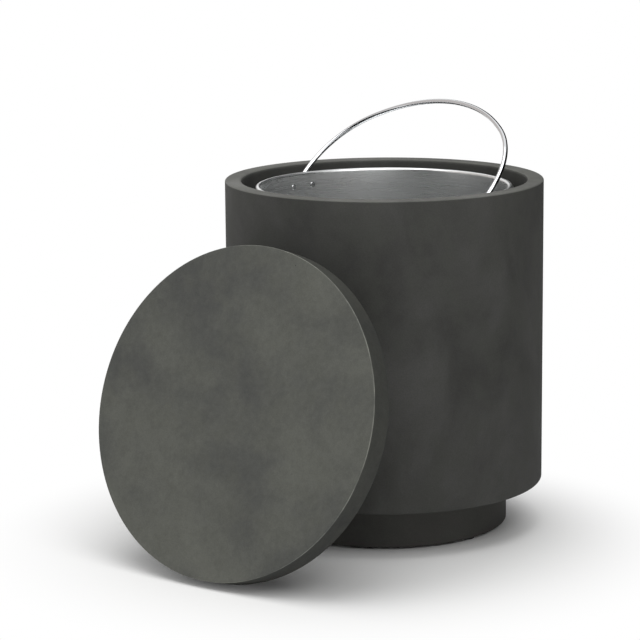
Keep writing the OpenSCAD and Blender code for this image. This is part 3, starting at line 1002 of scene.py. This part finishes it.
@dataclass
class Drum:
    """The cast drum, its plinth, and the bolts, washers, inserts and glides of the two."""

    plinth_top: float = 57.0
    crown_z: float = 438.8
    bolt_ring: float = 140.0
    bolt_count: int = 4
    bolt_radius: float = 4.0
    bolt_pitch: float = 1.25
    bolt_foot: float = 35.5
    bolt_seat: float = 70.2
    head_radius: float = 6.5
    head_height: float = 8.0
    head_sides: int = 72
    knurl_depth: float = 0.18
    socket_across: float = 7.2
    socket_depth: float = 4.0
    washer_radius: float = 10.0
    washer_bore: float = 4.25
    washer_t: float = 1.6
    glide_ring: float = 141.0
    glide_radius: float = 11.0
    glide_height: float = 3.0
    stem_radius: float = 4.0
    stem_length: float = 16.0
    barb_step: float = 2.4
    barb_depth: float = 0.6

    def bolt(self) -> Mesh:
        """Makes a socket cap bolt with its thread, knurled head and hexagon socket.

        Returns:
            The bolt.
        """
        seat, top = self.bolt_seat, self.bolt_seat + self.head_height
        shank, head = self.bolt_radius, self.head_radius
        rough = knurl(head, self.knurl_depth, self.head_sides)
        hole, floor = hexagon(self.socket_across), top - self.socket_depth
        return ring_stack("bolt", [
            (0, self.bolt_foot), (shank - 1.0, self.bolt_foot),
            *thread(shank, self.bolt_pitch, self.bolt_foot + 0.8, seat - 4.0),
            (shank, seat - 3.6), (shank, seat - 0.05), (head - 0.5, seat), (head - 0.2, seat + 0.4),
            (rough, seat + 0.9), (rough, top - 1.3), (head - 0.15, top - 0.9), (head - 0.9, top),
            (self.socket_across / 2 + 0.35, top), (hole, top - 0.4), (hole, floor), (0, floor - 0.6),
        ], self.head_sides)

    def washer(self) -> Mesh:
        """Makes a flat washer with a stamped edge, rounded above.

        Returns:
            The washer.
        """
        radius, low, high = self.washer_radius, self.bolt_seat - self.washer_t, self.bolt_seat
        return ring_stack("washer", [
            (self.washer_bore, low), (radius - 0.15, low), (radius, low + 0.15),
            *arc((radius - 0.5, high - 0.5), 0.5, 0, 90, 4), (self.washer_bore, high),
        ], loop=True)

    def glide(self) -> Mesh:
        """Makes a push-in glide with a shallow ring moulded underneath and a barbed stem.

        Returns:
            The glide.
        """
        radius, height, stem = self.glide_radius, self.glide_height, self.stem_radius
        root, barb, top = stem - self.barb_depth, height + 3.0, height + self.stem_length
        rings = [(0, 0.5), (2.0, 0.5), (2.4, 0.0), *arc((radius - 1.0, 1.0), 1.0, -90, 0, 6)]
        rings += [(radius, height - 0.2), (radius - 0.2, height), (stem, height)]
        while barb + self.barb_step < top - 1.0:
            rings += [(root, barb), (stem, barb + 0.4), (root, barb + self.barb_step - 0.2)]
            barb += self.barb_step
        return ring_stack("glide", [*rings, (stem, top - 1.4), (stem - 1.3, top), (0, top)])

    def build(self) -> list[Piece]:
        """Dresses the castings and builds the small parts.

        Returns:
            The sub-assembly's pieces.
        """
        # The rim's top is painted lighter as lit from above, and the drum painted darker towards its
        # foot
        drum = CastConcrete("cast_concrete_drum", "#3b3b39", "#4e4e4c", "#444541", contrast=1.4,
                            crown_z=self.crown_z, crown_painted_light=2.1, foot_z=self.plinth_top, painted_light_by_height=0.13)
        plinth = CastConcrete("cast_concrete_plinth", "#403f3d", "#4e4d4a", "#474844")
        bolts = even_ring(self.bolt_count, self.bolt_ring)
        glides = even_ring(self.bolt_count, self.glide_ring, math.pi / 4)
        return [
            dress("drum_shell", drum), dress("plinth_ring", plinth),
            dress("plinth_inserts", TURNED_BRASS), *set_out("table", [
                ("socket_bolts", self.bolt(), ZINC_PLATE, "zinc_steel", bolts, "plinth_bolts"),
                ("flat_washers", self.washer(), ZINC_PLATE, "zinc_steel", bolts, "bolt_washers"),
                ("push_in_glides", self.glide(), MOULDED_GLIDE, "glide_plastic", glides, "foot_glides"),
            ]),
        ]


@dataclass
class Lid:
    """The lift-off top: slab, bumpers, insulated plug and its screws."""

    crown_z: float = 31.0
    tilt: float = 18.1
    azimuth: float = -124.7
    lean_radius: float = 288.61
    stand_z: float = 189.79
    bumper_count: int = 4
    bumper_ring: float = 189.5
    bumper_radius: float = 5.0
    bumper_t: float = 2.0
    screw_count: int = 6
    screw_ring: float = 144.5
    screw_radius: float = 2.0
    screw_head: float = 4.0
    screw_tip: float = 9.5
    screw_pitch: float = 0.7
    flange_t: float = 3.2
    plug_radius: float = 138.0
    plug_depth: float = 50.0
    plug_wall: float = 2.5
    plug_round: float = 8.0
    flange_radius: float = 151.0
    panel_radius: float = 112.0
    panel_depth: float = 2.5
    blend: float = 1.5
    hole_gap: float = 0.1
    sides: int = 192

    @property
    def place(self) -> Matrix:
        """Gives the way from the lid's own frame to where it leans."""
        moved = Matrix.Translation((self.lean_radius * MM, 0, self.stand_z * MM))
        return rotation(self.azimuth, "Z") @ moved @ rotation(90 - self.tilt, "Y")

    def bumper(self) -> Mesh:
        """Makes a rubber bumper, domed at its edge, with a dimple in the middle.

        Returns:
            The bumper.
        """
        radius, low = self.bumper_radius, -self.bumper_t
        return ring_stack("bumper", [
            (0, 0.4 + low), (1.2, 0.4 + low), (1.6, low),
            *arc((radius - 1.0, 1.0 + low), 1.0, -90, 0, 6), (radius, 0), (0, 0),
        ])

    def cover_outline(self) -> list[Point]:
        """Draws the plug cover, with the fillets of its mould at the panel and flange.

        Returns:
            The closed outline as radius and height.
        """
        wall, low, deep = self.plug_wall, -self.plug_depth, self.panel_depth
        corner = (self.plug_radius - self.plug_round, self.plug_round - self.plug_depth)
        blend, lip = self.blend, self.flange_t / 2
        slope = self.panel_radius + deep
        return [
            (0, low + deep), *arc((self.panel_radius - blend, low + deep - blend), blend, 90, 45, 5),
            *arc((slope + blend, low + blend), blend, 225, 270, 5),
            *arc(corner, self.plug_round, -90, 0, 14),
            *arc((self.plug_radius + blend, -self.flange_t - blend), blend, 180, 90, 6),
            *arc((self.flange_radius - lip, -lip), lip, -90, 90, 12),
            (self.plug_radius - wall, 0), *arc(corner, self.plug_round - wall, 0, -90, 10),
            (slope, low + wall), (self.panel_radius, low + wall + deep), (0, low + wall + deep),
        ]

    def cover(self, screws: dict[str, float]) -> Piece:
        """Makes the plug's moulded cover with a countersunk hole for each screw.

        Args:
            screws: where the screws go, for the copying tree.

        Returns:
            The cover, where it leans.
        """
        shell = ring_stack("moulded_plug_cover", self.cover_outline(), self.sides)
        shell.materials.append(MOULDED_ABS.material())
        piece = new_object("moulded_plug_cover", shell)
        face, bore = -self.flange_t, self.screw_radius + self.hole_gap
        sink = self.screw_head + self.hole_gap
        cutter = ring_stack("cutter", [
            (0, face - 1.0), (sink + 1.0, face - 1.0), (sink, face), (bore, face + self.screw_radius),
            (bore, 1.0), (0, 1.0),
        ])
        drill(piece, grow("flange_holes", cutter, copies_tree(), MOULDED_ABS, screws))
        piece.data.transform(self.place)
        face_out(piece.data)
        return piece

    def screw(self) -> Mesh:
        """Makes a countersunk screw with its cross recess and thread.

        Returns:
            The screw.
        """
        face, neck, head = -self.flange_t, self.screw_radius - self.flange_t, self.screw_head
        return ring_stack("screw", [
            (0, face + 1.9), (cross(0.3 * head, 0.5), face + 1.6),
            (cross(0.62 * head, 0.8), face + 0.25), (0.72 * head, face), (head - 0.1, face),
            (head, face + 0.1), (self.screw_radius, neck),
            *thread(self.screw_radius, self.screw_pitch, neck + 0.6, self.screw_tip - 0.5),
            (1.2, self.screw_tip), (0, self.screw_tip),
        ])

    def build(self) -> list[Piece]:
        """Dresses the slab and the plug and builds the small parts.

        Returns:
            The sub-assembly's pieces.
        """
        # The top is the drum's concrete painted paler, as light on its upturned face; its edge band is
        # painted shade at half that, and its arris gets a painted highlight
        slab = CastConcrete("cast_concrete_top", "#4d4e4c", "#62635d", "#595a54", contrast=1.5,
                            mottle=0.065, stretch=(1.0, 0.85, 1.0), place=self.place,
                            crown_z=self.crown_z, side_painted_shade=0.5, arris_wear_and_highlight=4.0)
        bumpers = even_ring(self.bumper_count, self.bumper_ring, math.pi / 4)
        screws = even_ring(self.screw_count, self.screw_ring)
        return [
            dress("lid_slab", slab), dress("lid_inserts", TURNED_BRASS), dress("plug_core", BEAD_FOAM),
            *set_out("lid", [
                ("rubber_bumpers", self.bumper(), CAST_RUBBER, "bumper_rubber", bumpers, "lid_bumpers"),
                ("countersunk_screws", self.screw(), ZINC_PLATE, "zinc_steel", screws, "plug_screws"),
            ], self.place),
            settle(self.cover(screws), "lid", ["plug_cover"]),
        ]


@dataclass
class Bucket:
    """The pressed bucket: beaded wall with a rolled rim, base, ears and rivets."""

    radius: float = 156.0
    foot_radius: float = 140.0
    floor_z: float = 79.0
    taper_foot: float = 93.0
    taper_top: float = 370.0
    sheet_t: float = 1.0
    hem: float = 8.0
    curl_ring: float = 158.5
    curl_z: float = 428.5
    curl_radius: float = 3.5
    bead_count: int = 2
    bead_rise: float = 2.0
    bead_height: float = 12.0
    base_lift: float = 7.0
    base_dish: float = 2.0
    base_bend: float = 2.0
    base_flat: float = 60.0
    seat_gap: float = 0.1
    ear_azimuth: float = -47.2
    pivot_z: float = 417.95
    ear_edge: float = 3.5
    ear_t: float = 1.5
    rivet_turn: float = 5.98
    rivet_radius: float = 2.0
    rivet_head: float = 3.6
    rivet_dome: float = 1.6
    rivet_sides: int = 32
    sides: int = 192
    side_steps: int = 24

    @property
    def bead_step(self) -> float:
        """Gives the rise from one bead to the next."""
        return (self.taper_top - self.taper_foot) / (self.bead_count + 1)

    def side(self, inset: float) -> list[Point]:
        """Gives the tapered wall's points from the foot up, denser where the beads come.

        Args:
            inset: how far the points lie inside the outer face.

        Returns:
            Radius and height of each point.
        """
        rise, steps, half = self.taper_top - self.taper_foot, self.side_steps, self.side_steps // 2
        heights = {self.taper_foot + rise * i / steps for i in range(steps + 1)}
        for i in range(self.bead_count):
            middle = self.taper_foot + self.bead_step * (i + 1)
            heights |= {middle + self.bead_height * s / steps for s in range(-half, half + 1)}
        widening = self.radius - self.foot_radius
        return [
            (self.foot_radius - inset + widening * (z - self.taper_foot) / rise, z)
            for z in sorted(heights)
        ]

    def wall_profile(self) -> list[Point]:
        """Draws the sheet wall: hem, foot, tapered side and rolled rim.

        Returns:
            The closed outline as radius and height.
        """
        t, foot, low = self.sheet_t, self.foot_radius, self.floor_z
        curl, toe = (self.curl_ring, self.curl_z), (foot - 2 * t, low + 2 * t)
        return [
            (foot - self.hem, low), *arc(toe, 2 * t, -90, 0, 5), *self.side(0),
            *arc(curl, self.curl_radius - t, 180, -90, 27), *arc(curl, self.curl_radius, -90, 180, 27),
            *self.side(t)[::-1], *arc(toe, t, 0, -90, 5), (foot - self.hem, low + t),
        ]

    def base_profile(self) -> list[Point]:
        """Draws the pressed base, whose skirt stands in the foot of the wall.

        Returns:
            The closed outline as radius and height.
        """
        t, low, sunk = self.sheet_t, self.floor_z + self.sheet_t, self.base_dish
        top, skirt = low + self.base_lift, self.foot_radius - self.sheet_t - self.seat_gap
        dish, flat = skirt - 3 * self.base_lift, self.base_flat
        bend = (skirt - t - self.base_bend, top - self.base_bend)
        return [
            (0.0, top - sunk), (flat, top - sunk), (dish, top - sunk), (dish + sunk, top),
            *arc(bend, self.base_bend, 90, 0, 6), (skirt - t, low), (skirt, low),
            *arc(bend, self.base_bend + t, 0, 90, 8),
            (dish + sunk - t / 2, top + t), (dish - t / 2, top + t - sunk),
            (flat, top + t - sunk), (0.0, top + t - sunk),
        ]

    def spin(self, name: str, outline: list[Point], rise: float) -> Piece:
        """Turns an outline into a piece of brushed sheet.

        Args:
            name: the piece's name.
            outline: its closed outline as radius and height.
            rise: how far the beads stand out.

        Returns:
            The piece.
        """
        seed = bpy.data.meshes.new(f"{name}_outline")
        seed.from_pydata([(r * MM, 0, z * MM) for r, z in outline], [], [])
        piece = grow(name, seed, turned_tree(), BRUSHED_STAINLESS, {
            "Points": len(outline), "Sides": self.sides, "Bead Rise": rise * MM,
            "First Bead": (self.taper_foot + self.bead_step) * MM, "Bead Step": self.bead_step * MM,
            "Bead Height": self.bead_height * MM,
        })
        face_out(piece.data)
        return piece

    def rivet(self) -> Mesh:
        """Makes a rivet whose shank points along X: flat head inside, domed head outside.

        Returns:
            The rivet.
        """
        inner, head = self.radius - self.sheet_t - self.seat_gap, self.rivet_head
        grip = self.radius + 0.2 + self.ear_t - inner
        dome = (head * head + self.rivet_dome * self.rivet_dome) / (2 * self.rivet_dome)
        half, peak = math.degrees(math.asin(head / dome)), grip + self.rivet_dome
        mesh = ring_stack("rivet", [
            (0, -0.8), (head - 0.3, -0.8), (head, -0.5), (head, 0.0), (self.rivet_radius, 0.0),
            (self.rivet_radius, grip), *arc((0, peak - dome), dome, 90 - half, 88, 8), (0, peak),
        ], self.rivet_sides)
        mesh.transform(rotation(90, "Y"))
        mesh.transform(Matrix.Translation((inner * MM, 0, 0)))
        return mesh

    def build(self) -> list[Piece]:
        """Builds the wall and base, dresses the ears and sets the rivets.

        Returns:
            The sub-assembly's pieces.
        """
        wall = self.spin("beaded_wall", self.wall_profile(), self.bead_rise)
        base = self.spin("pressed_base", self.base_profile(), 0.0)
        return [
            settle(wall, "bucket", ["bucket_wall"]),
            settle(base, "bucket", ["bucket_base"]),
            dress("ear_right", PRESSED_STAINLESS), dress("ear_left", PRESSED_STAINLESS),
            *set_out("bucket", [
                (f"dome_rivets_{side}", self.rivet(), PRESSED_STAINLESS, "ear_steel", {
                    "Count": 2, "Step": math.radians(2 * self.rivet_turn),
                    "First Turn": math.radians(azimuth - self.rivet_turn),
                    "Height": (self.pivot_z - self.ear_edge) * MM,
                }, f"rivets_{side}")
                for side, azimuth in (("right", self.ear_azimuth), ("left", self.ear_azimuth + 180))
            ]),
        ]


@dataclass
class Bail:
    """The wire bail, bent cold from one length, its ends peened behind the ears."""

    wire_radius: float = 3.0
    head_radius: float = 4.2
    head_t: float = 2.0
    head_sides: int = 32
    leg_x: float = 165.8
    leg: float = 27.0
    link: float = 4.0
    bend_radius: float = 5.0
    shoulder_turn: float = 58.0
    shoulder_radius: float = 117.619
    crown_radius: float = 202.139
    head_x: float = 156.4
    pivot_z: float = 417.95
    lean: float = 47.1
    azimuth: float = -47.2
    step: float = 0.8
    sides: int = 24

    @property
    def place(self) -> Matrix:
        """Gives the way from the bail's own frame to where it is raised."""
        moved = Matrix.Translation((0, 0, self.pivot_z * MM))
        return rotation(self.azimuth, "Z") @ moved @ rotation(90 - self.lean, "X")

    def head(self) -> Mesh:
        """Makes a peened head that faces along X, slightly mushroomed by the hammer.

        Returns:
            The head.
        """
        r, t = self.head_radius, self.head_t
        mesh = ring_stack("peened_head", [
            (0, 0.0), (0.6 * r, 0.0), *arc((r - 0.7, 0.7), 0.7, -90, 0, 4),
            (r, t - 0.3), (r - 0.3, t), (0, t),
        ], self.head_sides)
        mesh.transform(rotation(90, "Y"))
        return mesh

    def build(self) -> list[Piece]:
        """Bends the wire and puts it at its raised place.

        Returns:
            The bail.
        """
        crown_turn = math.radians(90 - self.shoulder_turn)
        shoulder = math.radians(self.shoulder_turn)
        crown_end = self.crown_radius * crown_turn
        shoulder_start = crown_end + self.link
        shoulder_end = shoulder_start + self.shoulder_radius * shoulder
        pivot_start = shoulder_end + self.leg - self.bend_radius
        pivot_end = pivot_start + self.bend_radius * math.pi / 2
        half = pivot_end + self.leg_x - self.bend_radius - self.head_x
        lengths = {
            "Half Length": half, "Crown Start": 0.0, "Crown End": crown_end,
            "Shoulder Start": shoulder_start, "Shoulder End": shoulder_end,
            "Pivot Start": pivot_start, "Pivot End": pivot_end,
            "Start X": -self.head_x, "Wire Radius": self.wire_radius,
        }
        bail = grow("bent_wire_bail", self.head(), bent_wire_tree(), CHROMED_WIRE, {
            "Steps": 2 * round(half / self.step), "Sides": self.sides, "Crown Turn": crown_turn,
            "Shoulder Turn": shoulder, "Pivot Turn": math.pi / 2,
            **{label: length * MM for label, length in lengths.items()},
        }, self.place)
        face_out(bail.data)
        return [settle(bail, "bail", ["bail_handle"])]


@dataclass
class Studio:
    """Pale floor, white surroundings, soft lamps and the camera."""

    eye: Place = (-0.0116, -3.2, 0.8856)
    lens: float = 144.4
    pitch: float = 11.085
    yaw: float = 1.262
    roll: float = -0.505
    sensor: float = 36.0
    clip: Point = (0.05, 60.0)
    aim: Place = (0.0, 0.0, 0.25)
    # How bright the world is on the object; the camera and a gloss see it white
    soft: float = 0.52
    floor_reach: float = 9.0
    card_lift: float = 0.01
    # Where the floor's fade to white is centred, and where it begins and ends from there
    fade_centre: Place = (-0.07, -0.1, 0.0)
    fade: Point = (0.2, 0.46)

    def camera(self) -> None:
        """Makes the camera at the place and angle of the view."""
        lens = bpy.data.cameras.new("camera")
        lens.lens, lens.sensor_width = self.lens, self.sensor
        lens.clip_start, lens.clip_end = self.clip
        facing = rotation(self.yaw, "Z") @ rotation(90 - self.pitch, "X") @ rotation(self.roll, "Z")
        seat = new_object("camera", lens)
        seat.matrix_world = Matrix.Translation(self.eye) @ facing
        bpy.context.scene.camera = seat

    def lamp(self, name: str, spot: Place, size: float, watts: float) -> None:
        """Makes one soft square lamp that looks at the object.

        Args:
            name: the lamp's name.
            spot: where it hangs.
            size: its width and height.
            watts: its power.
        """
        light = bpy.data.lights.new(name, "AREA")
        light.shape, light.size, light.size_y, light.energy = "RECTANGLE", size, size, watts
        holder = new_object(name, light)
        holder.location = spot
        holder.rotation_euler = (Vector(self.aim) - Vector(spot)).to_track_quat("-Z", "Y").to_euler()

    def card(self, name: str, azimuth: float, away: float, size: Point, shade: str, flag: bool) -> None:
        """Stands a card on the floor outside the view, which shows as a streak in bright metal.

        Args:
            name: the card's name.
            azimuth: its direction from the object in degrees, 0 towards the camera and 90 to its right.
            away: its distance from the object.
            size: its width and height.
            shade: its colour.
            flag: whether it also keeps light off the object, as a studio's black flag does.
        """
        across, up = size[0] / 2, size[1]
        corners = [(-across, 0), (across, 0), (across, up), (-across, up)]
        paper = new_material(f"{name}_paper", lambda tree: glow(tree, "ShaderNodeEmission", shade))
        card = sheet(name, [(x, -away, z) for x, z in corners], paper)
        card.data.transform(rotation(azimuth, "Z") @ Matrix.Translation((0, 0, self.card_lift)))
        card.visible_camera = False
        card.visible_diffuse = card.visible_shadow = flag

    def surroundings(self) -> None:
        """Makes the world: plain light on the object, white where the camera or a gloss looks."""
        world = bpy.data.worlds.new("surroundings")
        tree = blank(world)
        soft = glow(tree, "ShaderNodeBackground", WHITE, self.soft)
        white = glow(tree, "ShaderNodeBackground", WHITE)
        mixed = add(tree, "ShaderNodeMixShader", {0: self.seen_directly(tree), 1: soft, 2: white})
        add(tree, "ShaderNodeOutputWorld", {"Surface": mixed})
        bpy.context.scene.world = world

    def seen_directly(self, tree: Tree) -> Flow:
        """Tells rays from the camera, a gloss or a clear body from the rest.

        Args:
            tree: the tree that asks.

        Returns:
            1 for those rays and 0 for the rest.
        """
        path = add(tree, "ShaderNodeLightPath")
        gloss = path["Is Glossy Ray"].by("MAXIMUM", path["Is Transmission Ray"])
        return path["Is Camera Ray"].by("MAXIMUM", gloss)

    def floor_paint(self, tree: Tree) -> Flow:
        """Fades from a pale paint round the object to the white surroundings.

        Args:
            tree: the material's tree.

        Returns:
            The floor's surface.
        """
        where = add(tree, "ShaderNodeTexCoord")["Object"]
        away = where.steer("SUBTRACT", self.fade_centre).steer("LENGTH")
        direct = away.over(*self.fade, 0.0, 1.0, "SMOOTHSTEP") * self.seen_directly(tree)
        matt = add(tree, "ShaderNodeBsdfDiffuse", {"Color": linear("#fbfbfa")})
        white = glow(tree, "ShaderNodeEmission", WHITE)
        return add(tree, "ShaderNodeMixShader", {0: direct, 1: matt, 2: white})

    def floor(self) -> None:
        """Makes the floor."""
        far = self.floor_reach
        corners = [(-far, -far, 0), (far, -far, 0), (far, far, 0), (-far, far, 0)]
        sheet("floor", corners, new_material("painted_floor", self.floor_paint))

    def build(self) -> None:
        """Makes everything round the object."""
        self.floor()
        self.surroundings()
        self.lamp("lamp_above", (-0.35, -0.5, 2.6), 2.0, 29.0)
        self.lamp("lamp_front", (0.85, -1.5, 1.8), 1.1, 10.5)
        self.card("card_right", 100.0, 1.7, (3.4, 2.9), "#0a0a0a", True)
        self.card("card_behind", 160.0, 2.0, (1.7, 2.9), "#0a0a0a", False)
        self.card("card_front_left", -37.0, 1.8, (1.5, 2.2), "#0c0c0c", False)
        self.card("card_left", -110.0, 1.8, (3.2, 2.8), "#cfc9c6", False)
        self.camera()
        bpy.context.scene.view_settings.view_transform = "Standard"


def main() -> None:
    """Builds the sub-assemblies in order, reports each piece and sets the studio."""
    logging.basicConfig(level=logging.INFO, format="%(name)s: %(message)s")
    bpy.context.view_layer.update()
    for assembly in (Drum(), Lid(), Bucket(), Bail()):
        for piece in assembly.build():
            part = type(assembly).__name__.lower()
            LOG.info("%s: %s, %d faces", part, piece.name, len(piece.data.polygons))
    Studio().build()


if __name__ == "__main__":
    main()
